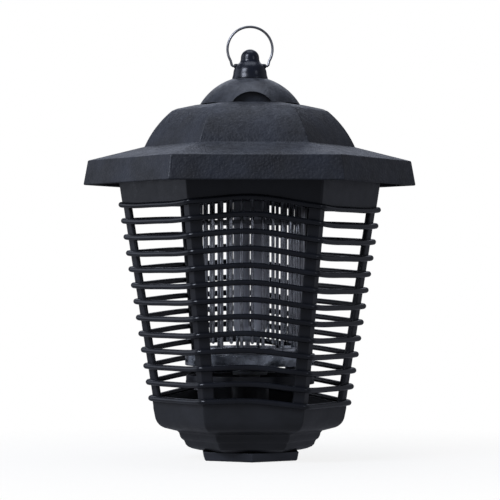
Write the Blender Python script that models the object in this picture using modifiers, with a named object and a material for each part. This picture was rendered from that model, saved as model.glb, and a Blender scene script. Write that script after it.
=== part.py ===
"""Hanging electric bug zapper in the shape of a six-sided lantern.

Every size below is in millimetres, and the helpers turn it into metres. +Z is up, the front
faces -Y, the six-sided pieces have corners on +X and -X, and the origin is the middle of the
foot's underside. The radius of a six-sided piece is measured to its corners.
"""

from math import acos, asin, atan2, cos, pi, radians, sin, sqrt, tan, tau

import bmesh
import bpy
from mathutils import Matrix, Vector

MM = 0.001
GAP = 0.3
WALL = 2.5
HEX = 6
ROUND = 32
HEX_FLAT = cos(radians(30))

# Guard cage: rails from the top (1) to the bottom (13), and the slope that all its walls share.
RAILS = 13
RAIL_PITCH = 12.633
RAIL_TOP = 197.6
RAIL_RADIUS = 2.2
RAIL_CORNER = 6.0
RAIL_TIP_TOP = 103.3
TAPER = 0.154
RISE_TOP = 5.4
RISE_BOTTOM = 2.4
BACK_TOP = 3.2
BACK_BOTTOM = 5.6
SIDE_STEP = 1.9
WALL_LINE = (101.2, 203.0)
COLLAR_TOP = 236.0
COLLAR_WALL = 3.0
POST_LEG = 9.0
POST_WALL = 4.0
POST_SETBACK = 5.45

# Roof: six-sided dome, wide brim and skirt, with a round cupola on top.
CUPOLA_SPHERE = 45.9
CUPOLA_CENTRE = 254.7
PLATEAU = 278.0
CUPOLA_FOOT = PLATEAU + GAP
ARCH_RADIUS = 18.3
ARCH_CENTRE = 268.0
ARCH_BACK = 29.0
ROOF_HOLE = 32.0
BOSS_RADIUS = 5.0
BOSS_CIRCLE = 75.0
GLAND_HEIGHT = 256.0
GLAND_REACH = 67.0
GLAND_TILT = radians(30)
GLAND_BORE = 3.5

# Hanging ring and finial.
RING_AXIS = 308.6
RING_CENTRE = 321.9
RING_RADIUS = 17.9
WIRE = 1.0
WIRE_HOLE = 1.35
FINIAL_FOOT = 298.6
STUD = 3.5

# Inside: two interleaved combs of killing wires, insulators, lamp and the rods that hold them.
GRID_RADIUS = 42.0
GRID_WIRE = 2.2
GRID_WIRES = 16
COMB_LOW = 83.1
COMB_HIGH = 208.0
LOW_HOOP = 88.1
TOP_HOOP = 205.0
COMB_CLEAR = 3.0
INSULATOR = 51.0
ROD = 2.0
ROD_CIRCLE = 46.0
ROD_ANGLES = (90, 210, 330)
LAMP_LEG = 6.0
LAMP_HALF = 7.0
LAMP_BOTTOM = 92.0
LAMP_TOP = 193.0
CHASSIS_LOW = 213.0
CHASSIS_HIGH = 216.0
CORE_X = 34.0
CORE_HALF = (14.0, 24.0)
CORE_LOW = CHASSIS_HIGH + GAP
CORE_HIGH = 254.0
WINDOW = (7.5, 16.5)
SCREW_Y = 20.25

# Foot: twist-lock cap in the bottom of the bowl.
OPENING = 30.0
FLOOR_LOW = 7.2
FLOOR_HIGH = 9.7
CAP_RADIUS = 42.8
LUG_REACH = 33.0
LUG_ANGLE = radians(15)


def clear_scene():
    for obj in list(bpy.data.objects):
        bpy.data.objects.remove(obj)


def new_collection(name):
    collection = bpy.data.collections.new(name)
    bpy.context.scene.collection.children.link(collection)
    return collection


def material(name, colour, roughness, metallic=0.0):
    look = bpy.data.materials.new(name)
    look.use_nodes = True
    shader = look.node_tree.nodes["Principled BSDF"]
    shader.inputs["Base Color"].default_value = (*colour, 1)
    shader.inputs["Roughness"].default_value = roughness
    shader.inputs["Metallic"].default_value = metallic
    return look


clear_scene()
PARTS = new_collection("bug_zapper")
CUTTERS = new_collection("cutters")


def black_plastic(name):
    return material(name, (0.012, 0.014, 0.017), 0.45)


def steel(name):
    return material(name, (0.55, 0.56, 0.58), 0.3, 1.0)


# --- shapes -------------------------------------------------------------------------------


def add(name, data, look=None):
    obj = bpy.data.objects.new(name, data)
    if look:
        data.materials.append(look)
        PARTS.objects.link(obj)
        return obj
    CUTTERS.objects.link(obj)
    obj.hide_render = True
    obj.display_type = "WIRE"
    return obj


def turned(name, profile, look=None, steps=ROUND, closed=False):
    """Turns (radius, height) points round Z; they run down the outer side."""
    points = [(radius * MM, 0, height * MM) for radius, height in profile]
    edges = [(i, i + 1) for i in range(len(points) - 1)]
    if closed:
        edges.append((len(points) - 1, 0))
    mesh = bpy.data.meshes.new(name)
    mesh.from_pydata(points, edges, [])
    obj = add(name, mesh, look)
    screw = obj.modifiers.new("Turn", "SCREW")
    screw.steps = steps
    screw.render_steps = steps
    screw.use_merge_vertices = True
    screw.merge_threshold = 0.00001
    screw.use_smooth_shade = False
    return obj


def cylinder(name, radius, low, high, look=None, sides=16):
    mesh = bpy.data.meshes.new(name)
    shape = bmesh.new()
    bmesh.ops.create_cone(
        shape, cap_ends=True, segments=sides, depth=(high - low) * MM,
        radius1=radius * MM, radius2=radius * MM,
    )
    bmesh.ops.translate(shape, verts=shape.verts, vec=(0, 0, (low + high) / 2 * MM))
    shape.to_mesh(mesh)
    shape.free()
    return add(name, mesh, look)


def box(name, low, high, look=None):
    mesh = bpy.data.meshes.new(name)
    shape = bmesh.new()
    size = [(b - a) * MM for a, b in zip(low, high)]
    middle = [(a + b) / 2 * MM for a, b in zip(low, high)]
    place = Matrix.Translation(middle) @ Matrix.Diagonal((*size, 1))
    bmesh.ops.create_cube(shape, matrix=place)
    shape.to_mesh(mesh)
    shape.free()
    return add(name, mesh, look)


def tube(name, points, radius, look, cyclic=False, resolution=1):
    curve = bpy.data.curves.new(name, "CURVE")
    curve.dimensions = "3D"
    curve.bevel_depth = radius * MM
    curve.bevel_resolution = resolution
    curve.use_fill_caps = not cyclic
    curve.twist_mode = "Z_UP" if cyclic else "MINIMUM"
    spline = curve.splines.new("POLY")
    spline.points.add(len(points) - 1)
    for point, place in zip(spline.points, points):
        point.co = (*(Vector(place) * MM), 1)
    spline.use_cyclic_u = cyclic
    return add(name, curve, look)


def plate(name, outlines, low, high, look):
    """A flat piece from closed (x, y) outlines: the first is its edge, the rest are holes."""
    curve = bpy.data.curves.new(name, "CURVE")
    curve.dimensions = "2D"
    curve.fill_mode = "BOTH"
    curve.extrude = (high - low) / 2 * MM
    for outline in outlines:
        spline = curve.splines.new("POLY")
        spline.points.add(len(outline) - 1)
        for point, (x, y) in zip(spline.points, outline):
            point.co = (x * MM, y * MM, 0, 1)
        spline.use_cyclic_u = True
    obj = add(name, curve, look)
    obj.location.z = (low + high) / 2 * MM
    return obj


def loft(name, loops, look=None):
    """A closed ring of material through equal loops of points, the last joined to the first."""
    mesh = bpy.data.meshes.new(name)
    shape = bmesh.new()
    rows = [[shape.verts.new(Vector(p) * MM) for p in loop] for loop in loops]
    count = len(loops[0])
    for row, above in zip(rows, rows[1:] + rows[:1]):
        for i in range(count):
            j = (i + 1) % count
            shape.faces.new((row[i], row[j], above[j], above[i]))
    bmesh.ops.recalc_face_normals(shape, faces=shape.faces)
    shape.to_mesh(mesh)
    shape.free()
    return add(name, mesh, look)


def to_mesh(obj):
    """Replaces a curve or a modified object by its plain welded mesh, at the same place."""
    bpy.context.view_layer.update()
    graph = bpy.context.evaluated_depsgraph_get()
    mesh = bpy.data.meshes.new_from_object(obj.evaluated_get(graph))
    shape = bmesh.new()
    shape.from_mesh(mesh)
    bmesh.ops.remove_doubles(shape, verts=shape.verts, dist=0.00001)
    bmesh.ops.recalc_face_normals(shape, faces=shape.faces)
    shape.to_mesh(mesh)
    shape.free()
    name = obj.name
    place = obj.matrix_world.copy()
    collection = obj.users_collection[0]
    hidden = obj.hide_render
    bpy.data.objects.remove(obj)
    solid = bpy.data.objects.new(name, mesh)
    solid.matrix_world = place
    solid.hide_render = hidden
    solid.display_type = "WIRE" if hidden else "TEXTURED"
    collection.objects.link(solid)
    return solid


def combine(obj, other, operation="DIFFERENCE"):
    change = obj.modifiers.new(other.name, "BOOLEAN")
    change.operation = operation
    change.object = other
    change.solver = "EXACT"


# --- outlines -----------------------------------------------------------------------------


def arc(start, end, rise, steps):
    """Points after start up to end, on an arc whose middle stands rise out from the chord.

    A positive rise bulges to the left of the way from start to end.
    """
    first = Vector(start)
    chord = Vector(end) - first
    half = chord.length / 2
    radius = (half * half + rise * rise) / (2 * abs(rise))
    left = Vector((-chord.y, chord.x)).normalized() * (1 if rise > 0 else -1)
    middle = first + chord / 2
    centre = middle - left * (radius - abs(rise))
    spread = 2 * asin(min(1, half / radius))
    sweep = -spread if rise > 0 else spread
    spoke = first - centre
    points = []
    for i in range(1, steps + 1):
        turn = Matrix.Rotation(sweep * i / steps, 2)
        points.append(tuple(centre + turn @ spoke))
    return points


def circle(radius, centre=(0, 0), sides=12):
    return [
        (centre[0] + radius * cos(tau * i / sides), centre[1] + radius * sin(tau * i / sides))
        for i in range(sides)
    ]


def on_circle(radius, degrees):
    return radius * cos(radians(degrees)), radius * sin(radians(degrees))


def hexagon(radius):
    return circle(radius, sides=HEX)


def wave(theta, depth):
    """How far a rail stands off its level, at an angle; depth is 0 at the top rail, 1 below.

    Its front and back sides arch up and its front slopes sag; behind, it climbs to the back.
    """
    rise = RISE_TOP + (RISE_BOTTOM - RISE_TOP) * depth
    arch = 0.194 * (1 - cos(6 * theta))
    swing = 0.612 * sin(3 * theta)
    step = -SIDE_STEP * max(-1, min(1, 2 * cos(theta)))
    if sin(theta) < 0:
        return rise * (arch + swing) + step
    back = BACK_TOP + (BACK_BOTTOM - BACK_TOP) * depth
    climb = back * min(1, sin(theta) / HEX_FLAT)
    return rise * max(0, arch - swing) + climb + step


def depth_of(height):
    return (RAIL_TOP - height) / (RAIL_PITCH * (RAILS - 1))


def wall_radius(height):
    """Corner radius of the cage's outer wall, which the posts, collar and bowl follow."""
    radius, level = WALL_LINE
    return radius + (height - level) * TAPER


def side_angles(per_side):
    """Angles of points spread evenly along the six sides of a hexagon, corners included."""
    angles = []
    for side in range(HEX):
        for i in range(per_side):
            along = i / per_side
            x, y = Vector((1, 0)).lerp(Vector((0.5, sqrt(0.75))), along)
            angles.append(side * radians(60) + atan2(y, x))
    return angles


def hex_point(radius, theta):
    """The point of a hexagon's edge in a direction."""
    offset = (theta + tau) % radians(60) - radians(30)
    reach = radius * HEX_FLAT / cos(offset)
    return reach * cos(theta), reach * sin(theta)


def wavy_loop(radius_at, level, lift, per_side=6):
    """A hexagonal loop whose height follows the rails' wave."""
    points = []
    for theta in side_angles(per_side):
        height = level + lift + wave(theta, depth_of(level))
        points.append((*hex_point(radius_at(height), theta), height))
    return points


def rail_path(index):
    """Centre line of a guard rail: six arched sides with rounded corners."""
    level = RAIL_TOP - index * RAIL_PITCH
    tip = RAIL_TIP_TOP - index * RAIL_PITCH * TAPER - RAIL_RADIUS
    corner = tip + RAIL_CORNER * (1 / HEX_FLAT - 1)
    cut = RAIL_CORNER * tan(radians(30))
    centre = corner - RAIL_CORNER / HEX_FLAT
    points = []
    for side in range(HEX):
        turn = Matrix.Rotation(side * radians(60), 2)
        local = [(centre + RAIL_CORNER * cos(radians(a)), RAIL_CORNER * sin(radians(a)))
                 for a in (-30, 0, 30)]
        start = Vector((corner - cut / 2, cut * HEX_FLAT))
        end = Vector((corner / 2 + cut / 2, (corner - cut) * HEX_FLAT))
        local += [tuple(start.lerp(end, i / 4)) for i in (1, 2, 3)]
        for point in local:
            x, y = turn @ Vector(point)
            theta = atan2(y, x)
            points.append((x, y, level + wave(theta, depth_of(level))))
    return points


# --- roof ---------------------------------------------------------------------------------


def roof_profile():
    """Closed section of the roof moulding: outside from the hole down, inside back up."""
    outside = [(ROOF_HOLE, PLATEAU), (43.0, PLATEAU), (57.5, 275.0), (61.6, 273.3)]
    outside += arc((61.6, 273.3), (83.1, 245.0), 2.1, 7)
    outside += [(126.9, 234.2), (127.5, 233.6), (131.0, 214.8)]
    inside = [(128.1, 214.8), (125.0, 231.6), (81.5, 242.2), (80.1, 244.8)]
    inside += arc((80.1, 244.8), (60.3, 270.6), -1.9, 7)
    inside += [(57.0, 272.0), (43.0, PLATEAU - WALL), (ROOF_HOLE, PLATEAU - WALL)]
    return outside + inside


def make_roof():
    look = black_plastic("roof_plastic")
    roof = turned("roof_shell", roof_profile(), look, steps=HEX, closed=True)
    for index, angle in enumerate(ROD_ANGLES, 1):
        x, y = on_circle(BOSS_CIRCLE, angle)
        boss = cylinder(f"boss_{index}", BOSS_RADIUS, CHASSIS_HIGH + GAP, 241.4, sides=12)
        boss.location = (x * MM, y * MM, 0)
        combine(roof, boss, "UNION")
        hole = cylinder(f"boss_hole_{index}", 2.2, 200.0, 232.0, sides=8)
        hole.location = boss.location
        combine(roof, hole)
    hole = cylinder("gland_hole", 5.3, -12.0, 12.0)
    place_on_gland_axis(hole)
    combine(roof, hole)


def place_on_gland_axis(obj):
    """Lays an object's Z along the normal of the roof's back slope."""
    obj.location = (0, GLAND_REACH * MM, GLAND_HEIGHT * MM)
    obj.rotation_euler.x = GLAND_TILT - radians(90)


def make_cord_gland():
    """A flanged bush in the roof's back slope, where the power cord would enter."""
    ring = [(6.2, 4.5), (6.6, 2.2), (8.0, 2.0), (8.0, 0.7), (4.9, 0.7), (4.9, -7.0)]
    ring += [(GLAND_BORE, -7.0), (GLAND_BORE, 4.5)]
    place_on_gland_axis(turned("cord_gland", ring, black_plastic("gland_rubber"), 16, True))


def sphere_arc(radius, high, low, steps):
    """Points of the cupola's round side from a height down to another."""
    top = acos((high - CUPOLA_CENTRE) / radius)
    end = acos((low - CUPOLA_CENTRE) / radius)
    points = []
    for i in range(steps + 1):
        angle = top + (end - top) * i / steps
        points.append((radius * sin(angle), CUPOLA_CENTRE + radius * cos(angle)))
    return points


def arch_block(name, radius, back, side):
    """A round bar along Y that cuts the arch into the cupola's front (-1) or back (+1)."""
    bar = cylinder(name, radius, back, 60.0, sides=32)
    bar.location.z = ARCH_CENTRE * MM
    bar.rotation_euler.x = radians(90) * -side
    return bar


def make_cupola():
    """A thin round cap with an arched recess in its front and back and a hole on its axis."""
    hole = STUD + 0.4
    inner = CUPOLA_SPHERE - WALL
    under, below = 295.9, CUPOLA_FOOT - 3
    section = [(1.0, under), *sphere_arc(inner, under, below, 6), (1.0, below)]
    cavity = turned("cupola_cavity", section, closed=True)
    top = 298.3
    section = [(hole, top), *sphere_arc(CUPOLA_SPHERE, top, CUPOLA_FOOT, 6), (hole, CUPOLA_FOOT)]
    cap = turned("cupola_cap", section, black_plastic("cupola_plastic"), closed=True)
    for side, word in ((-1, "front"), (1, "back")):
        keep = arch_block(f"arch_{word}_wall", ARCH_RADIUS + WALL, ARCH_BACK - WALL, side)
        combine(cavity, keep)
        combine(cap, arch_block(f"arch_{word}", ARCH_RADIUS, ARCH_BACK, side))
    combine(cap, cavity)


# --- finial and ring ----------------------------------------------------------------------


def make_finial():
    """A glossy knob on a bell-shaped foot, with a stud below and a cross hole for the ring."""
    profile = [(0, 321.8)]
    profile += arc((0, 321.8), (7.2, 315.6), 1.9, 6)
    profile += [(7.3, 314.0)]
    profile += arc((7.3, 314.0), (9.4, 310.4), -0.5, 3)
    profile += arc((9.4, 310.4), (13.1, 303.6), 1.1, 5)
    profile += [(13.9, 299.6), (14.1, FINIAL_FOOT)]
    profile += [(STUD, FINIAL_FOOT), (STUD, 286.0), (0, 286.0)]
    finial = turned("finial", profile, material("finial_gloss", (0.01, 0.012, 0.016), 0.12), 24)
    hole = cylinder("ring_hole", WIRE_HOLE, -20.0, 20.0, sides=12)
    hole.location.z = RING_AXIS * MM
    hole.rotation_euler.y = radians(90)
    combine(finial, hole)


def ring_path():
    """The ring's wire: from one end in the finial, round the loop and into the other side."""
    start = radians(-90) + asin(15.2 / RING_RADIUS)
    loop = []
    steps = 26
    for i in range(steps + 1):
        angle = start + (tau - 2 * (start + radians(90))) * i / steps
        loop.append((RING_RADIUS * cos(angle), 0, RING_CENTRE + RING_RADIUS * sin(angle)))
    end = [(7.5, 0, RING_AXIS), (13.2, 0, RING_AXIS), (14.3, 0, RING_AXIS + 0.9)]
    return end + loop + [(-x, y, z) for x, y, z in end[::-1]]


def make_ring():
    """The ring's origin is on its hinge axis, which runs along X through the finial."""
    points = [(x, y, z - RING_AXIS) for x, y, z in ring_path()]
    ring = tube("hanging_ring", points, WIRE, steel("ring_steel"))
    ring.location.z = RING_AXIS * MM


def nut(name, hole, reach, low, high, place=(0, 0)):
    look = steel(f"{name}_steel")
    piece = turned(name, [(reach, high), (reach, low), (hole, low), (hole, high)], look, HEX, True)
    piece.location = (place[0] * MM, place[1] * MM, 0)


def make_finial_fixings():
    hole = STUD + 0.4
    ring = [(9.0, 295.6), (9.0, 294.4), (hole, 294.4), (hole, 295.6)]
    turned("finial_washer", ring, steel("washer_steel"), 24, True)
    nut("finial_nut", hole + 0.3, 7.2, 289.4, 294.1)


# --- guard cage ---------------------------------------------------------------------------


def make_collar():
    """Six-sided band under the roof, whose lower edge follows the top rail."""
    lift = RAIL_RADIUS + GAP
    top = [(*hex_point(wall_radius(COLLAR_TOP), a), COLLAR_TOP) for a in side_angles(6)]
    inset = COLLAR_WALL / HEX_FLAT
    inner_top = [
        (*hex_point(wall_radius(COLLAR_TOP) - inset, a), COLLAR_TOP) for a in side_angles(6)
    ]
    low = wavy_loop(wall_radius, RAIL_TOP, lift)
    inner_low = wavy_loop(lambda z: wall_radius(z) - inset, RAIL_TOP, lift)
    loft("cage_collar", [low, top, inner_top, inner_low], black_plastic("collar_plastic"))


def trim_ring(name, level, lift, far):
    """A broad ring whose one side follows a rail's wave, for trimming posts and the bowl."""
    near = [wavy_loop(lambda z, r=r: r, level, lift) for r in (50, 120)]
    edge = [[(*hex_point(r, a), far) for a in side_angles(6)] for r in (120, 50)]
    return loft(name, near + edge)


def make_posts():
    """V-section posts that stand just inside the rails and lean with the cage."""
    top_trim = trim_ring("post_top_trim", RAIL_TOP, RAIL_RADIUS, 230.0)
    low_level = RAIL_TOP - RAIL_PITCH * (RAILS - 1)
    low_trim = trim_ring("post_low_trim", low_level, -RAIL_RADIUS, 20.0)
    low, high = 36.0, 212.0
    ends = Vector(on_circle(POST_LEG, 120))
    inward = Vector(on_circle(POST_WALL, 210))
    outline = [(0, 0), tuple(ends), tuple(ends + inward), (-POST_WALL / HEX_FLAT, 0)]
    outline += [(ends.x + inward.x, -ends.y - inward.y), (ends.x, -ends.y)]
    middle = (low + high) / 2
    tip = RAIL_TIP_TOP - (RAIL_TOP - middle) * TAPER - POST_SETBACK
    for index in range(HEX):
        look = black_plastic(f"post_plastic_{index + 1}")
        post = to_mesh(plate(f"corner_post_{index + 1}", [outline], low, high, look))
        post.data.transform(Matrix.Shear("XY", 4, (TAPER, 0)))
        post.location = (*(Vector(on_circle(tip, index * 60)) * MM), middle * MM)
        post.rotation_euler.z = radians(index * 60)
        combine(post, top_trim)
        combine(post, low_trim)


def make_rails():
    look = black_plastic("rail_plastic")
    for index in range(RAILS):
        tube(f"guard_rail_{index + 1:02d}", rail_path(index), RAIL_RADIUS, look, cyclic=True)


# --- bowl and foot ------------------------------------------------------------------------


def bowl_profile():
    """Closed section of the bowl: outside over two stepped mouldings, inside back up."""
    outside = [(wall_radius(54.0), 54.0), (wall_radius(41.4), 41.4), (75.0, 33.6)]
    outside += arc((75.0, 33.6), (67.4, 24.5), 1.7, 5)
    outside += [(57.3, 22.0), (56.0, 20.6), (55.2, 17.8), (54.2, 16.2), (52.1, 14.6)]
    outside += [(51.4, 13.0), (50.7, 11.4), (49.0, 9.8), (45.5, 8.3), (40.5, FLOOR_LOW)]
    inside = [(20.0, FLOOR_LOW), (20.0, FLOOR_HIGH), (43.6, FLOOR_HIGH), (47.0, 12.4)]
    inside += [(50.9, 18.4), (53.2, 24.6), (65.4, 27.6)]
    inside += arc((65.4, 27.6), (71.4, 34.2), -1.2, 4)
    inside += [(wall_radius(54.0) - 3.0, 54.0)]
    return outside + inside


def make_bowl():
    bowl = turned("base_bowl", bowl_profile(), black_plastic("bowl_plastic"), HEX, True)
    level = RAIL_TOP - RAIL_PITCH * (RAILS - 1)
    combine(bowl, trim_ring("bowl_trim", level, -RAIL_RADIUS - GAP, 70.0))
    combine(bowl, cylinder("opening", OPENING, 0.0, 12.0, sides=ROUND))
    for index in range(3):
        notch = box(f"notch_{index}", (20, -6.0, 4.0), (LUG_REACH + 0.8, 6.0, 12.0))
        notch.rotation_euler.z = radians(120 * index + 30)
        combine(bowl, notch)


def make_cap():
    """The foot: a six-sided cap turned 30 degrees, with a round spigot and three lugs."""
    look = black_plastic("cap_plastic")
    profile = [(0, 3.0), (37.8, 3.0), (38.6, FLOOR_LOW - GAP), (CAP_RADIUS, FLOOR_LOW - GAP)]
    profile += [(41.4, 1.0), (40.4, 0), (0, 0)]
    cap = turned("clean_out_cap", profile, look, HEX)
    cap.rotation_euler.z = radians(30)
    spigot = turned("spigot", [(29.3, 14.0), (29.3, 2.0), (26.5, 2.0), (26.5, 14.0)], closed=True)
    combine(cap, spigot, "UNION")
    for index in range(3):
        width = LUG_REACH * sin(LUG_ANGLE / 2)
        low = FLOOR_HIGH + 0.4
        lug = box(f"lug_{index}", (27.5, -width, low), (LUG_REACH - 0.4, width, low + 2.6))
        lug.rotation_euler.z = radians(120 * index)
        combine(cap, lug, "UNION")
    ring = [(32.3, 6.9), (32.3, 3.3), (29.7, 3.3), (29.7, 6.9)]
    turned("cap_seal", ring, material("seal_rubber", (0.03, 0.03, 0.03), 0.8), closed=True)


# --- inside -------------------------------------------------------------------------------


def make_comb(name, low, high, teeth_low, teeth_high, turn):
    """Half of the killing grid: every other upright wire, on a hoop at one end."""
    half = GRID_WIRE / 2
    section = [(GRID_RADIUS + half, high), (GRID_RADIUS + half, low)]
    section += [(GRID_RADIUS - half, low), (GRID_RADIUS - half, high)]
    comb = turned(name, section, steel(f"{name}_steel"), ROUND, True)
    comb.rotation_euler.z = turn
    mesh = bpy.data.meshes.new(f"{name}_slots")
    shape = bmesh.new()
    opening = 2 * GRID_RADIUS * sin(pi / GRID_WIRES) - GRID_WIRE
    size = Matrix.Diagonal((12 * MM, opening * MM, (teeth_high - teeth_low) * MM, 1))
    middle = Matrix.Translation((GRID_RADIUS * MM, 0, (teeth_high + teeth_low) / 2 * MM))
    for i in range(GRID_WIRES):
        spin = Matrix.Rotation(turn + tau * (i + 0.5) / GRID_WIRES, 4, "Z")
        bmesh.ops.create_cube(shape, matrix=spin @ middle @ size)
    shape.to_mesh(mesh)
    shape.free()
    combine(comb, add(f"{name}_slots", mesh))


def make_grid():
    """The live comb hangs from the top and the return comb stands on the lower insulator."""
    start = LOW_HOOP + COMB_CLEAR
    end = TOP_HOOP - COMB_CLEAR
    make_comb("live_wires", start, COMB_HIGH, start - 1, TOP_HOOP, 0)
    make_comb("return_wires", COMB_LOW, end, LOW_HOOP, end + 1, pi / GRID_WIRES)


def rod_holes(radius):
    return [circle(radius, on_circle(ROD_CIRCLE, a), 8) for a in ROD_ANGLES]


def make_insulators():
    """The wires stand on the lower disc, round the upper ring and under the wire holder."""
    grey = material("insulator_upper", (0.2, 0.21, 0.22), 0.3)
    clear = material("insulator_lower", (0.35, 0.37, 0.38), 0.15)
    reach = GRID_RADIUS - GRID_WIRE / 2 - GAP
    vents = [circle(2.4, on_circle(34.6, 15 + 30 * i), 8) for i in range(12)]
    outlines = [circle(reach, sides=ROUND), circle(29.0, sides=24)] + vents
    plate("upper_insulator", outlines, 184.0, 187.0, grey)
    outlines = [circle(INSULATOR, sides=ROUND)] + rod_holes(ROD + GAP)
    plate("lower_insulator", outlines, 73.6, COMB_LOW - GAP, clear)
    outlines.append(circle(20.0, sides=24))
    plate("wire_holder", outlines, COMB_HIGH + GAP, 212.3, grey.copy())
    spacer = [(0, 73.3), (8.0, 73.3), (8.0, 69.0), (13.6, 69.0), (13.6, 66.0), (8.0, 66.0)]
    spacer += [(8.0, 62.3), (0, 62.3)]
    turned("insulator_spacer", spacer, material("spacer_grey", (0.3, 0.3, 0.3), 0.5), 20)


def make_lower_plate():
    """A round plate with a raised rim, and the hollow column that it stands on."""
    look = black_plastic("plate_plastic")
    outlines = [circle(50.5, sides=ROUND)] + rod_holes(ROD + GAP)
    disc = to_mesh(plate("lower_plate", outlines, 59.0, 62.0, look))
    section = [(50.2, 66.0), (50.2, 60.5), (48.7, 60.5), (48.7, 66.0)]
    combine(disc, turned("plate_rim", section, closed=True), "UNION")
    column = [(14.8, 58.7), (14.8, 16.5), (12.4, 16.5), (12.4, 58.7)]
    turned("lower_column", column, black_plastic("column_plastic"), 20, True)


def make_rods():
    for index, angle in enumerate(ROD_ANGLES, 1):
        x, y = on_circle(ROD_CIRCLE, angle)
        look = steel(f"rod_steel_{index}")
        rod = cylinder(f"tie_rod_{index}", ROD, 52.0, CHASSIS_LOW - GAP, look, sides=8)
        rod.location = (x * MM, y * MM, 0)
        nut(f"tie_nut_{index}", ROD + GAP, 4.4, 55.0, 58.7, (x, y))


def make_lamp():
    bend = LAMP_BOTTOM + LAMP_LEG + LAMP_HALF
    path = [(-LAMP_HALF, 0, LAMP_TOP)]
    for i in range(9):
        angle = pi + pi * i / 8
        path.append((LAMP_HALF * cos(angle), 0, bend + LAMP_HALF * sin(angle)))
    path.append((LAMP_HALF, 0, LAMP_TOP))
    glass = material("lamp_glass", (0.75, 0.75, 0.78), 0.1)
    tube("lamp_tube", path, LAMP_LEG, glass, resolution=3)
    grey = material("lamp_base_grey", (0.35, 0.35, 0.36), 0.5)
    top = LAMP_TOP + GAP
    box("lamp_base", (-13, -8, top), (13, 8, 203.0), grey)
    box("lamp_socket", (-15, -10, 203.3), (15, 10, CHASSIS_LOW - GAP), grey.copy())


def make_chassis():
    radius = wall_radius(CHASSIS_LOW) - COLLAR_WALL / HEX_FLAT - 0.8
    holes = [circle(2.2, on_circle(BOSS_CIRCLE, a), 8) for a in ROD_ANGLES]
    holes += [circle(2.2, (CORE_X, y), 8) for y in (-SCREW_Y, SCREW_Y)]
    look = material("chassis_metal", (0.4, 0.4, 0.4), 0.5, 1.0)
    plate("chassis_plate", [hexagon(radius)] + holes, CHASSIS_LOW, CHASSIS_HIGH, look)
    for index, angle in enumerate(ROD_ANGLES, 1):
        x, y = on_circle(BOSS_CIRCLE, angle)
        profile = [(0, 230.0), (1.8, 230.0), (1.8, CHASSIS_LOW - GAP), (3.6, CHASSIS_LOW - GAP)]
        profile += [(3.6, 210.6), (0, 210.6)]
        screw = turned(f"chassis_screw_{index}", profile, steel(f"screw_steel_{index}"), 10)
        screw.location = (x * MM, y * MM, 0)


def make_transformer():
    """A laminated core with two windows, a coil on its middle limb and two long screws."""
    x, y = CORE_HALF
    look = material("core_steel", (0.25, 0.25, 0.26), 0.5, 1.0)
    core = box("transformer_core", (CORE_X - x, -y, CORE_LOW), (CORE_X + x, y, CORE_HIGH), look)
    near, far = WINDOW
    low, high = CORE_LOW + 7.5, CORE_HIGH - 7.5
    for side in (-1, 1):
        ends = sorted((side * near, side * far))
        window = box(f"window_{side}", (0, ends[0], low), (70, ends[1], high))
        combine(core, window)
        hole = cylinder(f"core_hole_{side}", 2.1, 200.0, 270.0, sides=8)
        hole.location = (CORE_X * MM, side * SCREW_Y * MM, 0)
        combine(core, hole)
        profile = [(0, 256.8), (3.8, 256.8), (3.8, CORE_HIGH + GAP), (1.8, CORE_HIGH + GAP)]
        profile += [(1.8, CHASSIS_LOW - GAP), (0, CHASSIS_LOW - GAP)]
        name = f"transformer_screw_{1 if side < 0 else 2}"
        screw = turned(name, profile, steel(f"{name}_steel"), 10)
        screw.location = hole.location
    outlines = []
    for grow in (far - near - GAP, GAP):
        a, b = x + grow, near + grow
        outlines.append([(CORE_X - a, -b), (CORE_X + a, -b), (CORE_X + a, b), (CORE_X - a, b)])
    copper = material("coil_copper", (0.45, 0.2, 0.08), 0.4)
    plate("transformer_coil", outlines, low + GAP, high - GAP, copper)


def make_board():
    board_low = 222.0
    look = material("board_green", (0.05, 0.16, 0.07), 0.5)
    holes = [circle(1.6, (-37.0, y), 8) for y in (-22, 22)]
    edge = [(-62, -28), (-12, -28), (-12, 28), (-62, 28)]
    plate("circuit_board", [edge] + holes, board_low, board_low + 1.6, look)
    for index, y in enumerate((-22, 22), 1):
        name = f"board_standoff_{index}"
        post = cylinder(name, 3.0, CHASSIS_HIGH + GAP, board_low - GAP, steel(name), 8)
        post.location = (-0.037, y * MM, 0)
    for index, y in enumerate((-9, 9), 1):
        name = f"capacitor_{index}"
        sleeve = material(name, (0.05, 0.07, 0.2), 0.3)
        can = cylinder(name, 5.5, board_low + 1.9, board_low + 22.0, sleeve, 16)
        can.location = (-0.046, y * MM, 0)


make_roof()
make_cord_gland()
make_cupola()
make_finial()
make_ring()
make_finial_fixings()
make_collar()
make_posts()
make_rails()
make_bowl()
make_cap()
make_grid()
make_insulators()
make_lower_plate()
make_rods()
make_lamp()
make_chassis()
make_transformer()
make_board()
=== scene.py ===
"""Looks of the hanging six-sided bug zapper, built round its CAD solids.

Sizes are in millimetres and the helpers turn them into metres. +Z is up, the front faces -Y,
the six-sided pieces have corners on +X and -X, and the reach of a six-sided loop is measured
from the axis to its sharp corner, before that corner is rounded. The floor, the lights and the
camera are placed in metres.
"""

from math import acos, asin, atan2, cos, pi, radians, sin, tan, tau

import bmesh
import bpy
from mathutils import Matrix, Vector


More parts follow.
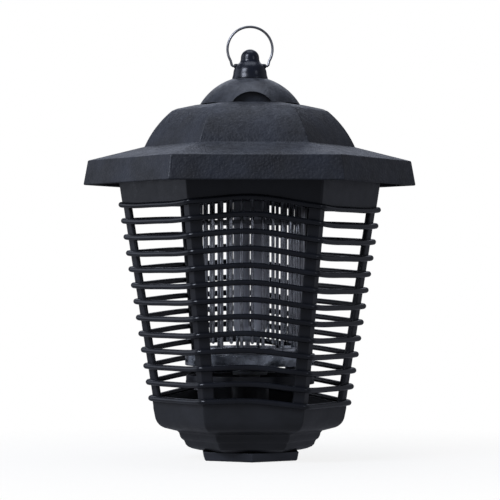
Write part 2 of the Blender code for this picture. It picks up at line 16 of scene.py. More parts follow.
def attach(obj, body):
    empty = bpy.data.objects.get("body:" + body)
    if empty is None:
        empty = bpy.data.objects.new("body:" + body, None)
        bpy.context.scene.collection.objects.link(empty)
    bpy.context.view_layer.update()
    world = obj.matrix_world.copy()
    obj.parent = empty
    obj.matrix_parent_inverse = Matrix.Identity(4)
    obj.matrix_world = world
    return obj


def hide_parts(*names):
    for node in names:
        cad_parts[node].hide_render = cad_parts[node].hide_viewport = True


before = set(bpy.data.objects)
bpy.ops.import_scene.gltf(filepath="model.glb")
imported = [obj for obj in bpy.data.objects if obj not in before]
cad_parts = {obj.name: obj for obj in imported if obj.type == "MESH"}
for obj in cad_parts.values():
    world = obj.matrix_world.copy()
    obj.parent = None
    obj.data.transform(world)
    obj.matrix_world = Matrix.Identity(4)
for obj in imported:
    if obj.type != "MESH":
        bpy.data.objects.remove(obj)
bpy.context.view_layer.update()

MM = 0.001
WELD = 0.002 * MM
HEX = 6
# The reach of a side of a hexagon for each unit of reach of its corners.
HEX_FLAT = cos(radians(30))

# Guard cage.
RAILS = 13
RAIL_PITCH = 12.633
RAIL_TOP = 197.6
RAIL_RADIUS = 2.2
RAIL_CORNER = 6.0
RAIL_TIP_TOP = 103.3
TAPER = 0.154
RISE_TOP = 5.4
RISE_BOTTOM = 2.4
ARCH_SHARE = 0.194
SWING_SHARE = 0.612
BACK_TOP = 3.2
BACK_BOTTOM = 5.6
SIDE_STEP = 1.9
WALL_LINE = (101.1, 203.0)
WALL_CORNER = 3.0
POST_LEG = 8.4
POST_WALL = 3.6
POST_INSET = 0.9
CAGE_MIDDLE = 120.0

# Roof and cupola.
PLATEAU = 278.0
CUPOLA_SPHERE = 45.9
CUPOLA_CENTRE = 254.7
CUPOLA_FOOT = PLATEAU + 0.3
ARCH_RADIUS = 18.3
ARCH_CENTRE = 268.0
ARCH_BACK = 29.0
GLAND_HEIGHT = 256.0
GLAND_REACH = 67.0
GLAND_TILT = radians(30)

# Ring and finial.
RING_AXIS = 308.6
RING_CENTRE = 321.9
RING_RADIUS = 17.7
WIRE = 1.0

# Inside.
GRID_RADIUS = 42.0
GRID_WIRE = 1.35
GRID_WIRES = 16
ROD_CIRCLE = 46.0
BOSS_CIRCLE = 75.0
THIRDS = (90, 210, 330)

# Floor and light.
FLOOR_RADIUS = 1.6
SKY = (0.79, 0.85, 1.0)
ROOM = (0.15, 0.157, 0.185)
LIT_POINT = (0, 0, 0.2)

# Sockets of a colour mix node, whose names repeat for numbers, vectors and colours.
FIRST_COLOUR = 6
SECOND_COLOUR = 7
MIXED_COLOUR = 2

# Plastic colours.
BLACK = (0.0068, 0.0075, 0.0098)
BLACK_LIGHT = (0.0115, 0.0128, 0.017)
# Pale grey of upward faces: settled dust, and painted light falling on the tops.
DUST_AND_TOP_LIGHT = (0.16, 0.17, 0.19)


# --- node materials -----------------------------------------------------------------------


class Look:
    """A node material under construction: helpers that add nodes and join them."""

    def __init__(self, name):
        self.material = bpy.data.materials.new(name)
        self.material.use_nodes = True
        self.tree = self.material.node_tree
        self.shader = self.tree.nodes["Principled BSDF"]
        self.place = self.tree.nodes.new("ShaderNodeTexCoord").outputs["Object"]

    def set(self, **values):
        """Sets the shader's own sockets, named with _ for a space."""
        for name, value in values.items():
            self.shader.inputs[name.replace("_", " ")].default_value = value
        return self

    def join(self, source, target):
        self.tree.links.new(source, target)

    def add(self, kind, inputs=None, **settings):
        node = self.tree.nodes.new(kind)
        for name, value in settings.items():
            setattr(node, name, value)
        for name, value in (inputs or {}).items():
            if isinstance(value, bpy.types.NodeSocket):
                self.join(value, node.inputs[name])
            else:
                node.inputs[name].default_value = value
        return node

    def stretched(self, scale):
        """The object's coordinates, scaled by an amount along each axis."""
        node = self.add("ShaderNodeMapping", {"Vector": self.place, "Scale": scale})
        return node.outputs["Vector"]

    def noise(self, size, detail=3.0, roughness=0.5, place=None):
        """Noise whose features are about size millimetres across."""
        inputs = {"Vector": place or self.place, "Scale": 1 / (size * MM)}
        inputs.update({"Detail": detail, "Roughness": roughness})
        return self.add("ShaderNodeTexNoise", inputs).outputs["Fac"]

    def cells(self, size, place=None):
        """Cells about size millimetres across."""
        inputs = {"Vector": place or self.place, "Scale": 1 / (size * MM)}
        return self.add("ShaderNodeTexVoronoi", inputs).outputs["Distance"]

    def spread(self, value, low, high, start=0.0, end=1.0):
        """Maps low..high of a value to start..end."""
        inputs = {"Value": value, "From Min": low, "From Max": high}
        inputs.update({"To Min": start, "To Max": end})
        return self.add("ShaderNodeMapRange", inputs).outputs["Result"]

    def maths(self, operation, first, second):
        node = self.add("ShaderNodeMath", operation=operation)
        for socket, value in zip(node.inputs, (first, second)):
            if isinstance(value, bpy.types.NodeSocket):
                self.join(value, socket)
            else:
                socket.default_value = value
        return node.outputs["Value"]

    def blend(self, factor, first, second):
        """Mixes two colours, each a socket or three numbers."""
        node = self.add("ShaderNodeMix", data_type="RGBA")
        self.join(factor, node.inputs[0])
        for index, value in ((FIRST_COLOUR, first), (SECOND_COLOUR, second)):
            if isinstance(value, bpy.types.NodeSocket):
                self.join(value, node.inputs[index])
            else:
                node.inputs[index].default_value = (*value, 1)
        return node.outputs[MIXED_COLOUR]

    def upward(self):
        """1 on level tops, 0 on walls and undersides."""
        normal = self.add("ShaderNodeNewGeometry").outputs["Normal"]
        height = self.add("ShaderNodeSeparateXYZ", {"Vector": normal}).outputs["Z"]
        return self.spread(height, 0.15, 1.0)

    def colour(self, socket):
        self.join(socket, self.shader.inputs["Base Color"])

    def rough(self, socket):
        self.join(socket, self.shader.inputs["Roughness"])

    def bump(self, height, depth):
        """Bumps of a depth in millimetres."""
        inputs = {"Height": height, "Distance": depth * MM, "Strength": 1.0}
        node = self.add("ShaderNodeBump", inputs)
        self.join(node.outputs["Normal"], self.shader.inputs["Normal"])


def plastic(name, dark, light, gloss, grain, depth, dust_and_top_light=0.0, specular=0.5):
    """Moulded plastic: mottled colour, uneven gloss, fine spark-eroded grain and faint dust with
    painted light on upward faces.
    """
    look = Look(name).set(Specular_IOR_Level=specular)
    patches = look.spread(look.noise(26, 4), 0.35, 0.65)
    colour = look.blend(patches, dark, light)
    # Upward faces are mixed towards a pale grey: partly settled dust, partly painted light falling
    # on the tops.
    if dust_and_top_light:
        dust_and_top_light_mask = look.maths("MULTIPLY", look.upward(), look.spread(look.noise(5, 5), 0.3, 0.8))
        dust_and_top_light_mask = look.maths("MULTIPLY", dust_and_top_light_mask, dust_and_top_light)
        colour = look.blend(dust_and_top_light_mask, colour, DUST_AND_TOP_LIGHT)
    look.colour(colour)
    fine = look.noise(grain, 2, 0.6)
    pits = look.spread(look.cells(grain * 1.6), 0.0, 0.7)
    wear = look.noise(9, 5, 0.6)
    gloss_low, gloss_high = gloss
    look.rough(look.spread(look.maths("ADD", wear, fine), 0.7, 1.3, gloss_low, gloss_high))
    look.bump(look.maths("ADD", fine, look.maths("MULTIPLY", pits, 0.5)), depth)
    return look.material


def metal(name, dark, light, gloss, grain=0.5, depth=0.01, stretch=(1, 1, 0.08)):
    """Drawn or plated steel: cloudy tint, fine lines along the drawing direction, uneven gloss."""
    look = Look(name).set(Metallic=1.0)
    lines = look.noise(grain, 4, 0.6, look.stretched(stretch))
    clouds = look.noise(7, 4)
    look.colour(look.blend(look.spread(clouds, 0.3, 0.7), dark, light))
    gloss_low, gloss_high = gloss
    look.rough(look.spread(look.maths("ADD", lines, clouds), 0.7, 1.3, gloss_low, gloss_high))
    look.bump(lines, depth)
    return look.material


def ribbed(name, dark, light, pitch, depth, gloss, metallic, axis="Z"):
    """A stack or winding: alternate thin layers across one axis."""
    look = Look(name).set(Metallic=metallic)
    inputs = {"Vector": look.place, "Scale": 1 / (pitch * MM) / 3.18, "Distortion": 0.4}
    wave_node = look.add("ShaderNodeTexWave", inputs, wave_profile="SIN", bands_direction=axis)
    layers = wave_node.outputs["Fac"]
    tint = look.maths("MULTIPLY", layers, look.spread(look.noise(4, 4), 0.2, 0.8, 0.6, 1.0))
    look.colour(look.blend(tint, dark, light))
    gloss_low, gloss_high = gloss
    look.rough(look.spread(look.noise(3, 4), 0.3, 0.7, gloss_low, gloss_high))
    look.bump(layers, depth)
    return look.material


# A plastic's seventh number sets how far its upward faces pale, with dust and painted top light.
looks = {
    "roof": plastic("roof_grain", BLACK, (0.014, 0.017, 0.025), (0.36, 0.62), 1.7, 0.26, 0.3),
    "cupola": plastic("cupola_grain", BLACK, (0.016, 0.02, 0.028), (0.3, 0.55), 1.2, 0.16, 0.45),
    "cage": plastic("cage_satin", BLACK, BLACK_LIGHT, (0.26, 0.42), 0.8, 0.03, 0.04),
    "rail": plastic("rail_satin", BLACK, BLACK_LIGHT, (0.16, 0.28), 0.8, 0.02, 0.02, 0.4),
    "bowl": plastic(
        "bowl_satin", (0.011, 0.0115, 0.013), (0.019, 0.02, 0.023), (0.32, 0.48), 0.8, 0.04, 0.1
    ),
    # The foot's plastic is lighter than the other black mouldings: painted light, standing in for
    # light bounced up from the floor.
    "foot": plastic(
        "foot_satin_painted_bounce_light", (0.026, 0.028, 0.034), (0.044, 0.047, 0.056), (0.35, 0.55), 0.8, 0.05
    ),
    "inner": plastic("inner_satin", BLACK, BLACK_LIGHT, (0.3, 0.45), 0.8, 0.03),
    "gloss": plastic(
        "finial_gloss", BLACK, (0.008, 0.011, 0.02), (0.2, 0.3), 2.0, 0.012, 0.0, 0.4
    ),
    "rubber": plastic(
        "soft_rubber", (0.01, 0.01, 0.01), (0.022, 0.022, 0.022), (0.6, 0.8), 0.6, 0.05
    ),
    "insulator": plastic(
        "moulded_grey", (0.1, 0.105, 0.11), (0.15, 0.155, 0.165), (0.2, 0.36), 0.8, 0.03
    ),
    "spacer": plastic("spacer_grey", (0.2, 0.2, 0.2), (0.28, 0.28, 0.28), (0.35, 0.5), 0.8, 0.03),
    "lamp_plastic": plastic(
        "lamp_base_grey", (0.22, 0.23, 0.25), (0.32, 0.33, 0.36), (0.35, 0.5), 0.8, 0.03
    ),
    "ring": metal("ring_steel", (0.2, 0.2, 0.21), (0.36, 0.36, 0.37), (0.28, 0.42)),
    "bright": metal("bright_wire", (0.5, 0.51, 0.53), (0.68, 0.69, 0.71), (0.14, 0.28)),
    "zinc": metal(
        "zinc_plate", (0.34, 0.35, 0.36), (0.5, 0.51, 0.52), (0.35, 0.55), 3.0, 0.02, (1, 1, 1)
    ),
    "screw": metal("screw_steel", (0.35, 0.35, 0.36), (0.55, 0.55, 0.56), (0.25, 0.4)),
    "core": ribbed(
        "core_layers", (0.03, 0.03, 0.032), (0.2, 0.2, 0.21), 0.5, 0.08, (0.4, 0.6), 1.0, "X"
    ),
    "coil": ribbed(
        "copper_winding", (0.16, 0.05, 0.02), (0.5, 0.2, 0.08), 0.45, 0.15, (0.25, 0.45), 0.6
    ),
}


def lamp_glass():
    """Coated lamp glass: a milky layer inside glossy glass, thinner and darker in patches."""
    look = Look("coated_lamp_glass").set(Coat_Weight=0.6, Coat_Roughness=0.05)
    patches = look.spread(look.noise(12, 4), 0.3, 0.7)
    look.colour(look.blend(patches, (0.42, 0.43, 0.47), (0.55, 0.56, 0.6)))
    look.rough(look.spread(look.noise(5, 3), 0.3, 0.7, 0.28, 0.42))
    look.bump(look.noise(1.2, 2), 0.006)
    return look.material


def clear_insulator():
    """Smoky clear plastic with a glossy, slightly wavy face."""
    look = Look("smoky_clear_plastic").set(Transmission_Weight=0.7, IOR=1.49)
    clouds = look.spread(look.noise(16, 3), 0.4, 0.6)
    look.colour(look.blend(clouds, (0.08, 0.09, 0.105), (0.8, 0.85, 0.92)))
    look.rough(look.spread(look.noise(6, 4), 0.3, 0.7, 0.04, 0.16))
    look.bump(look.noise(7.0, 2), 0.4)
    return look.material


def board_green():
    """Circuit board lacquer over copper tracks."""
    look = Look("board_lacquer").set(Coat_Weight=0.4, Coat_Roughness=0.15)
    tracks = look.spread(look.cells(3.5, look.stretched((1, 0.35, 1))), 0.42, 0.5)
    look.colour(look.blend(tracks, (0.02, 0.09, 0.035), (0.05, 0.19, 0.08)))
    look.rough(look.spread(look.noise(5, 4), 0.3, 0.7, 0.25, 0.4))
    look.bump(tracks, 0.03)
    return look.material


def capacitor_sleeve():
    """Shrunk sleeve, dark blue with a slightly pebbled skin."""
    look = Look("shrunk_sleeve")
    clouds = look.spread(look.noise(5, 4), 0.3, 0.7)
    look.colour(look.blend(clouds, (0.01, 0.015, 0.05), (0.03, 0.04, 0.1)))
    look.rough(look.spread(look.noise(3, 4), 0.3, 0.7, 0.2, 0.35))
    look.bump(look.noise(1.5, 3), 0.03)
    return look.material


looks["lamp"] = lamp_glass()
looks["clear"] = clear_insulator()
looks["board"] = board_green()
looks["sleeve"] = capacitor_sleeve()


# --- outlines -----------------------------------------------------------------------------


def arc(start, end, rise, steps):
    """Points after start up to end on an arc; a positive rise bulges left of the way there."""
    first = Vector(start)
    chord = Vector(end) - first
    half = chord.length / 2
    radius = (half * half + rise * rise) / (2 * abs(rise))
    left = Vector((-chord.y, chord.x)).normalized() * (1 if rise > 0 else -1)
    centre = first + chord / 2 - left * (radius - abs(rise))
    spread = 2 * asin(min(1, half / radius))
    sweep = -spread if rise > 0 else spread
    spoke = first - centre
    turns = [Matrix.Rotation(sweep * i / steps, 2) for i in range(1, steps + 1)]
    return [tuple(centre + turn @ spoke) for turn in turns]


def softened(points, radius, steps=3, closed=True):
    """Rounds the corners of an outline, by less where its sides are short."""
    made = []
    count = len(points)
    for i, point in enumerate(points):
        here = Vector(point)
        if not closed and i in (0, count - 1):
            made.append(tuple(here))
            continue
        before = Vector(points[i - 1]) - here
        after = Vector(points[(i + 1) % count]) - here
        turn = pi - before.angle(after)
        if turn < radians(9):
            made.append(tuple(here))
            continue
        room = min(before.length, after.length) * 0.45
        reach = min(room, radius * tan(turn / 2))
        start = here + before.normalized() * reach
        end = here + after.normalized() * reach
        for j in range(steps + 1):
            t = j / steps
            made.append(tuple(start * (1 - t) ** 2 + here * 2 * t * (1 - t) + end * t * t))
    return made


def on_circle(radius, degrees):
    """The point at an angle on a circle about the axis."""
    return radius * cos(radians(degrees)), radius * sin(radians(degrees))


def wave(theta, depth):
    """How far a rail stands off its level, at an angle; depth is 0 at the top rail, 1 below.

    Its front and back sides arch up and its front slopes sag; behind, it climbs to the back.
    """
    rise = RISE_TOP + (RISE_BOTTOM - RISE_TOP) * depth
    arch = ARCH_SHARE * (1 - cos(6 * theta))
    swing = SWING_SHARE * sin(3 * theta)
    step = -SIDE_STEP * max(-1, min(1, 2 * cos(theta)))
    if sin(theta) < 0:
        return rise * (arch + swing) + step
    back = BACK_TOP + (BACK_BOTTOM - BACK_TOP) * depth
    climb = back * min(1, sin(theta) / HEX_FLAT)
    return rise * max(0, arch - swing) + climb + step


def wall_radius(height):
    """Corner reach of the cage's outer wall, which the posts, collar and bowl follow."""
    radius, level = WALL_LINE
    return radius + (height - level) * TAPER


def hex_loop(reach, corner, steps=6, split=8):
    """A six-sided loop with rounded corners, as (x, y) points."""
    corner = max(corner, 0.05)
    centre = reach - corner / HEX_FLAT
    cut = corner * tan(radians(30))
    points = []
    for side in range(HEX):
        turn = Matrix.Rotation(side * radians(60), 2)
        local = []
        for i in range(steps + 1):
            angle = radians(-30 + 60 * i / steps)
            local.append(Vector((centre + corner * cos(angle), corner * sin(angle))))
        start = local[-1]
        end = Vector((reach / 2 + cut / 2, (reach - cut) * HEX_FLAT))
        local += [start.lerp(end, i / split) for i in range(1, split)]
        points += [turn @ p for p in local]
    return points


# --- meshes -------------------------------------------------------------------------------


def linked(name, data):
    """A new object in the scene."""
    obj = bpy.data.objects.new(name, data)
    bpy.context.scene.collection.objects.link(obj)
    return obj


def piece(name, mesh, look, node, body="housing"):
    """A visible piece that stands for one CAD node and moves with a body."""
    obj = linked(name, mesh)
    mesh.materials.clear()
    mesh.materials.append(looks[look])
    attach(obj, body)
    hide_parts(node)
    return obj


def to_mesh(name, shape, sharp=60):
    """Welds and smooths a bmesh, with edges sharper than an angle left hard."""
    bmesh.ops.remove_doubles(shape, verts=shape.verts, dist=WELD)
    bmesh.ops.recalc_face_normals(shape, faces=shape.faces)
    for face in shape.faces:
        face.smooth = True
    for edge in shape.edges:
        edge.smooth = len(edge.link_faces) != 2 or edge.calc_face_angle(0) < radians(sharp)
    mesh = bpy.data.meshes.new(name)
    shape.to_mesh(mesh)
    shape.free()
    return mesh


def weighted(obj):
    """Shading that follows the large faces, so that flats stay flat beside their fillets."""
    change = obj.modifiers.new("Flat faces", "WEIGHTED_NORMAL")
    change.keep_sharp = True
    change.weight = 80
    return obj


def evaluated(obj):
    """An object's shape with its modifiers or its curve worked out."""
    bpy.context.view_layer.update()
    graph = bpy.context.evaluated_depsgraph_get()
    mesh = bpy.data.meshes.new_from_object(obj.evaluated_get(graph))
    shape = bmesh.new()
    shape.from_mesh(mesh)
    bpy.data.meshes.remove(mesh)
    return shape


def skin(shape, rows, cyclic=True, close=True):
    """Joins rows of points by faces: cyclic closes each row, close joins the last to the first."""
    made = [[shape.verts.new(Vector(p) * MM) for p in row] for row in rows]
    pairs = list(zip(made, made[1:]))
    if close:
        pairs.append((made[-1], made[0]))
    count = len(made[0])
    for row, above in pairs:
        for i in range(count if cyclic else count - 1):
            j = (i + 1) % count
            shape.faces.new((row[i], row[j], above[j], above[i]))
    return made


def hex_rows(profile, corner, wavy=None):
    """Rows of a six-sided skin from (reach, height) points. wavy maps a row's index to a depth."""
    rows = []
    for index, (reach, height) in enumerate(profile):
        depth = (wavy or {}).get(index)
        row = []
        for point in hex_loop(reach, corner):
            lift = 0 if depth is None else wave(atan2(point.y, point.x), depth)
            scale = 1 + lift * TAPER / reach
            row.append((point.x * scale, point.y * scale, height + lift))
        rows.append(row)
    return rows


def lathe(shape, profile, steps=48, closed=True, centre=(0, 0)):
    """Turns (radius, height) points round Z. Points on the axis become one vertex when welded."""
    rows = []
    for i in range(steps):
        angle = tau * i / steps
        rows.append([
            (centre[0] + r * cos(angle), centre[1] + r * sin(angle), z) for r, z in profile
        ])
    skin(shape, rows, cyclic=closed)


def sweep(shape, path, radius, sides=14, cyclic=False, up=(0, 0, 1)):
    """A tube along points; radius is one number or one for each point."""
    path = [Vector(p) for p in path]
    count = len(path)
    rows = []
    for i, here in enumerate(path):
        before = path[i - 1] if cyclic or i else here
        after = path[(i + 1) % count] if cyclic or i < count - 1 else here
        along = (after - before).normalized()
        side = along.cross(Vector(up)).normalized()
        lift = side.cross(along)
        reach = radius if isinstance(radius, (int, float)) else radius[i]
        rows.append([
            here + (side * cos(tau * k / sides) + lift * sin(tau * k / sides)) * reach
            for k in range(sides)
        ])
    made = skin(shape, rows, cyclic=True, close=cyclic)
    if not cyclic:
        shape.faces.new(made[0][::-1])
        shape.faces.new(made[-1])


def block(shape, low, high, edge=0.6, steps=2):
    """Adds a box with rounded edges."""
    size = [(b - a) * MM for a, b in zip(low, high)]
    middle = [(a + b) / 2 * MM for a, b in zip(low, high)]
    place = Matrix.Translation(middle) @ Matrix.Diagonal((*size, 1))
    made = bmesh.ops.create_cube(shape, matrix=place)
    corners = set(made["verts"])
    edges = [e for e in shape.edges if e.verts[0] in corners]
    bmesh.ops.bevel(
        shape, geom=edges, offset=edge * MM, segments=steps, profile=0.5, affect="EDGES",
    )


def turned_block(low, high, edge, angle):
    """A box with rounded edges, turned about the axis by an angle in degrees."""
    shape = bmesh.new()
    block(shape, low, high, edge)
    turn = Matrix.Rotation(radians(angle), 4, "Z")
    bmesh.ops.transform(shape, matrix=turn, verts=shape.verts)
    return shape


def disc(name, outlines, low, high, edge=0.4):
    """A flat mesh with rounded rims from closed (x, y) outlines: its edge first, then its holes."""
    curve = bpy.data.curves.new(name, "CURVE")
    curve.dimensions = "2D"
    curve.fill_mode = "BOTH"
    curve.extrude = ((high - low) / 2 - edge) * MM
    curve.bevel_depth = edge * MM
    curve.bevel_resolution = 2
    curve.offset = -edge * MM
    for outline in outlines:
        spline = curve.splines.new("POLY")
        spline.points.add(len(outline) - 1)
        for point, (x, y) in zip(spline.points, outline):
            point.co = (x * MM, y * MM, 0, 1)
        spline.use_cyclic_u = True
    obj = linked(name, curve)
    shape = evaluated(obj)
    bpy.data.objects.remove(obj)
    bmesh.ops.translate(shape, verts=shape.verts, vec=(0, 0, (low + high) / 2 * MM))
    return to_mesh(name, shape, 35)


def ring_points(radius, centre=(0, 0), sides=24):
    """The (x, y) points of a circle."""
    return [
        (centre[0] + radius * cos(tau * i / sides), centre[1] + radius * sin(tau * i / sides))
        for i in range(sides)
    ]


def temporary(name, shape):
    """An object for a Boolean, which combined() takes away again."""
    bmesh.ops.remove_doubles(shape, verts=shape.verts, dist=WELD)
    bmesh.ops.recalc_face_normals(shape, faces=shape.faces)
    mesh = bpy.data.meshes.new(name)
    shape.to_mesh(mesh)
    shape.free()
    return linked(name, mesh)


def combined(base, others):
    """The shape of a base object after its (object, operation) pairs, all of which are removed."""
    for other, operation in others:
        change = base.modifiers.new(other.name, "BOOLEAN")
        change.operation = operation
        change.object = other
        change.solver = "EXACT"
    shape = evaluated(base)
    for obj in [base] + [other for other, _ in others]:
        bpy.data.objects.remove(obj)
    return shape


def bar(name, radius, start, end, sides=48):
    """A straight round bar between two points, as a Boolean's object."""
    shape = bmesh.new()
    way = Vector(end) - Vector(start)
    up = (0, 0, 1) if abs(way.normalized().z) < 0.9 else (0, 1, 0)
    sweep(shape, [start, end], radius, sides, up=up)
    return temporary(name, shape)


# --- roof ---------------------------------------------------------------------------------


def gland_point(along):
    """A point on the cord gland's axis, some way out from the roof's back slope."""
    return (0, GLAND_REACH + along * cos(GLAND_TILT), GLAND_HEIGHT + along * sin(GLAND_TILT))


def make_roof():
    """The domed shell with its brim and skirt, bosses for the chassis and a hole for the cord."""
    outside = [(32.0, PLATEAU), (43.0, PLATEAU), (57.5, 275.0), (61.6, 273.3)]
    outside += arc((61.6, 273.3), (83.1, 245.0), 2.1, 12)
    outside += [(126.9, 234.2), (127.5, 233.6), (131.0, 214.8)]
    inside = [(128.1, 214.8), (125.0, 231.6), (81.5, 242.2), (80.1, 244.8)]
    inside += arc((80.1, 244.8), (60.3, 270.6), -1.9, 10)
    inside += [(57.0, 272.0), (43.0, 275.5), (32.0, 275.5)]
    shape = bmesh.new()
    skin(shape, hex_rows(softened(outside + inside, 1.1), 1.5))
    base = temporary("roof_base", shape)
    changes = []
    for index, angle in enumerate(THIRDS):
        x, y = on_circle(BOSS_CIRCLE, angle)
        boss = bar(f"boss_{index}", 5.0, (x, y, 216.3), (x, y, 242.0))
        hole = bar(f"boss_hole_{index}", 2.2, (x, y, 210.0), (x, y, 232.0), 24)
        changes += [(boss, "UNION"), (hole, "DIFFERENCE")]
    changes.append((bar("gland_hole", 5.3, gland_point(-12), gland_point(12)), "DIFFERENCE"))
    mesh = to_mesh("roof_moulding", combined(base, changes), 50)
    weighted(piece("roof_moulding", mesh, "roof", "roof_shell"))


def make_gland():
    """A rubber grommet through the back slope."""
    ring = [(6.0, 4.6), (6.6, 2.4), (7.6, 2.1), (8.1, 1.5), (8.1, 0.6), (4.9, 0.6), (4.9, -7.0)]
    ring += [(3.5, -7.0), (3.5, 4.0), (4.2, 4.7)]
    shape = bmesh.new()
    lathe(shape, softened(ring, 0.5), 48)
    turn = Matrix.Rotation(GLAND_TILT - radians(90), 4, "X")
    shift = Matrix.Translation(Vector((0, GLAND_REACH, GLAND_HEIGHT)) * MM)
    bmesh.ops.transform(shape, matrix=shift @ turn, verts=shape.verts)
    mesh = to_mesh("cord_grommet", shape)
    piece("cord_grommet", mesh, "rubber", "cord_gland")


def sphere_arc(radius, high, low, steps):
    """(radius, height) points down a ball about the cupola's centre, between two heights."""
    top = acos((high - CUPOLA_CENTRE) / radius)
    end = acos((low - CUPOLA_CENTRE) / radius)
    angles = [top + (end - top) * i / steps for i in range(steps + 1)]
    return [(radius * sin(a), CUPOLA_CENTRE + radius * cos(a)) for a in angles]


def make_cupola():
    """A thin round cap with an arched recess in its front and back and a hole on its axis."""
    wall = 2.5
    shape = bmesh.new()
    profile = [(3.9, 298.3), *sphere_arc(CUPOLA_SPHERE, 298.3, CUPOLA_FOOT, 20), (3.9, CUPOLA_FOOT)]
    lathe(shape, profile, 120)
    cap = temporary("cupola_base", shape)
    shape = bmesh.new()
    inner = sphere_arc(CUPOLA_SPHERE - wall, 295.9, CUPOLA_FOOT - 3, 12)
    lathe(shape, [(1.0, 295.9), *inner, (1.0, CUPOLA_FOOT - 3)], 96)
    cavity = temporary("cupola_cavity", shape)
    blocks = []
    for side in (-1, 1):
        start, end = (0, side * (ARCH_BACK - wall), ARCH_CENTRE), (0, side * 60, ARCH_CENTRE)
        blocks.append((bar(f"arch_wall_{side}", ARCH_RADIUS + wall, start, end, 96), "DIFFERENCE"))
    hollow = temporary("hollow", combined(cavity, blocks))
    cuts = []
    for side in (-1, 1):
        start, end = (0, side * ARCH_BACK, ARCH_CENTRE), (0, side * 60, ARCH_CENTRE)
        cuts.append((bar(f"arch_{side}", ARCH_RADIUS, start, end, 96), "DIFFERENCE"))
    shape = combined(cap, [*cuts, (hollow, "DIFFERENCE")])
    bmesh.ops.remove_doubles(shape, verts=shape.verts, dist=0.00003)
    bmesh.ops.dissolve_degenerate(shape, edges=shape.edges, dist=0.00002)
    sharp = [
        e for e in shape.edges if len(e.link_faces) == 2 and e.calc_face_angle(0) > radians(35)
    ]
    bmesh.ops.bevel(
        shape, geom=sharp, offset=0.7 * MM, segments=3, profile=0.5, affect="EDGES",
        clamp_overlap=True,
    )
    mesh = to_mesh("cupola_moulding", shape, 50)
    weighted(piece("cupola_moulding", mesh, "cupola", "cupola_cap"))


# --- finial and ring ----------------------------------------------------------------------


def make_finial():
    """A glossy knob on a bell-shaped foot, with ears where the ring goes in."""
    profile = [(0, 321.8)]
    profile += arc((0, 321.8), (7.2, 315.6), 1.9, 12)
    profile += [(7.3, 314.0)]
    profile += arc((7.3, 314.0), (9.4, 310.4), -0.5, 6)
    profile += arc((9.4, 310.4), (13.1, 303.6), 0.7, 10)
    profile += arc((13.1, 303.6), (13.9, 299.6), -0.15, 4)
    profile += [(14.1, 299.2), (14.0, 298.6)]
    profile += [(3.5, 298.6), (3.5, 286.0), (0, 286.0)]
    shape = bmesh.new()
    lathe(shape, profile, 72, closed=False)
    base = temporary("finial_base", shape)
    changes = []
    for side in (-1, 1):
        shape = bmesh.new()
        path = [(side * x, 0, RING_AXIS) for x in (8.0, 11.0, 12.0, 12.6)]
        sweep(shape, path, [1.9, 1.9, 1.8, 1.5], 32)
        changes.append((temporary(f"ear_{side}", shape), "UNION"))
    changes.append((bar("ring_hole", 1.35, (-20, 0, RING_AXIS), (20, 0, RING_AXIS)), "DIFFERENCE"))
    mesh = to_mesh("finial_knob", combined(base, changes), 40)
    piece("finial_knob", mesh, "gloss", "finial")


def make_ring():
    """The bent wire that the zapper hangs from, its two ends inside the finial."""
    start = radians(-90) + asin(15.2 / RING_RADIUS)
    span = tau - 2 * (start + radians(90))
    loop = []
    steps = 72
    for i in range(steps + 1):
        angle = start + span * i / steps
        loop.append((RING_RADIUS * cos(angle), 0, RING_CENTRE + RING_RADIUS * sin(angle)))
    end = [(2.0, 0, RING_AXIS), (12.6, 0, RING_AXIS), (13.5, 0, RING_AXIS + 0.15)]
    end.append((14.4, 0, RING_AXIS + 0.9))
    path = end + loop + [(-x, y, z) for x, y, z in end[::-1]]
    shape = bmesh.new()
    sweep(shape, path, WIRE, 16, up=(0, 1, 0))
    mesh = to_mesh("wire_ring", shape)
    piece("wire_ring", mesh, "ring", "hanging_ring", "ring")


def hex_nut(shape, hole, reach, low, high, centre=(0, 0)):
    """A nut whose corners are turned down at both ends."""
    face = reach * HEX_FLAT
    chamfer = (reach - face) * 0.6
    profile = [
        (hole, high), (face * 0.97, high), (reach, high - chamfer), (reach, low + chamfer),
        (face * 0.97, low), (hole, low),
    ]
    rows = []
    for i in range(48):
        angle = tau * i / 48
        flat = face / cos((angle % radians(60)) - radians(30))
        row = []
        for radius, height in profile:
            radius = min(radius, flat)
            row.append((centre[0] + radius * cos(angle), centre[1] + radius * sin(angle), height))
        rows.append(row)
    skin(shape, rows)


def make_finial_fixings():
    """The washer and nut that hold the finial from inside the cupola."""
    shape = bmesh.new()
    lathe(shape, softened([(9.0, 295.6), (9.0, 294.4), (3.9, 294.4), (3.9, 295.6)], 0.3), 48)
    mesh = to_mesh("stud_washer", shape)
    piece("stud_washer", mesh, "screw", "finial_washer")
    shape = bmesh.new()
    hex_nut(shape, 4.2, 7.2, 289.4, 294.1)
    mesh = to_mesh("stud_nut", shape, 30)
    piece("stud_nut", mesh, "screw", "finial_nut")


# --- guard cage ---------------------------------------------------------------------------


def make_collar():
    """Band under the roof, whose lower edge follows the top rail."""
    thick = 3.0 / HEX_FLAT
    top, low = 236.0, RAIL_TOP + 0.8
    profile = [(wall_radius(z), z) for z in (low, low + 6, low + 14, 226.0, top - 0.6, top)]
    inner = [(wall_radius(z) - thick, z) for z in (top, 226.0, low + 14, low + 6, low)]
    count = len(profile) + len(inner)
    shape = bmesh.new()
    skin(shape, hex_rows(profile + inner, WALL_CORNER, {0: 0.0, count - 1: 0.0}))
    mesh = to_mesh("collar_band", shape, 50)
    weighted(piece("collar_band", mesh, "cage", "cage_collar"))


def post_outline():
    """V section of a post, its tip on the origin, pointing out along +X."""
    ends = Vector(on_circle(POST_LEG, 120))
    inward = Vector(on_circle(POST_WALL, 210))
    outline = [(0, 0), tuple(ends), tuple(ends + inward), (-POST_WALL / HEX_FLAT, 0)]
    outline += [(ends.x + inward.x, -ends.y - inward.y), (ends.x, -ends.y)]
    return softened(outline, 1.2, 4)


